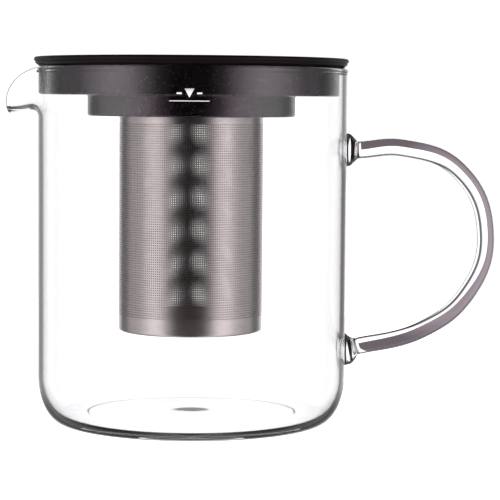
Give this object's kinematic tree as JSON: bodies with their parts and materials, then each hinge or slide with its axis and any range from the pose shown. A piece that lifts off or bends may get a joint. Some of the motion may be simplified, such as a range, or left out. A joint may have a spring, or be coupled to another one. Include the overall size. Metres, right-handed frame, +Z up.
{
  "type": "teapot",
  "caption": "Straight-sided clear glass teapot with a drawn beak spout, rod handle, dark infuser ring, perforated steel strainer and thin flat lid",
  "frame": {"origin": "centre of the flat base that the jug stands on", "axes": "+X points from the spout to the handle, +Y points away from the viewer, +Z is up along the jug's axis"},
  "size_m": [0.185, 0.1188, 0.1383],
  "materials": {
    "clear_glass": "clear",
    "dark_plastic": "satin",
    "black_plastic": "satin",
    "steel": "satin",
    "silicone": "matte"
  },
  "bodies": {
    "jug": {"glass_jug": "clear_glass", "glass_handle": "clear_glass"},
    "holder": {"infuser_holder": "dark_plastic"},
    "strainer": {"strainer_wall": "steel", "strainer_base": "steel", "strainer_flange": "steel"},
    "lid": {"lid_cover": "black_plastic", "lid_seal": "silicone"}
  },
  "joints": [
    {"name": "holder_lift", "type": "slide", "parent": "jug", "child": "holder", "axis": [0, 0, 1], "range_m": [0, 0.105]},
    {"name": "strainer_lift", "type": "slide", "parent": "holder", "child": "strainer", "axis": [0, 0, 1], "range_m": [0, 0.105]},
    {"name": "lid_lift", "type": "slide", "parent": "strainer", "child": "lid", "axis": [0, 0, 1], "range_m": [0, 0.04]}
  ]
}
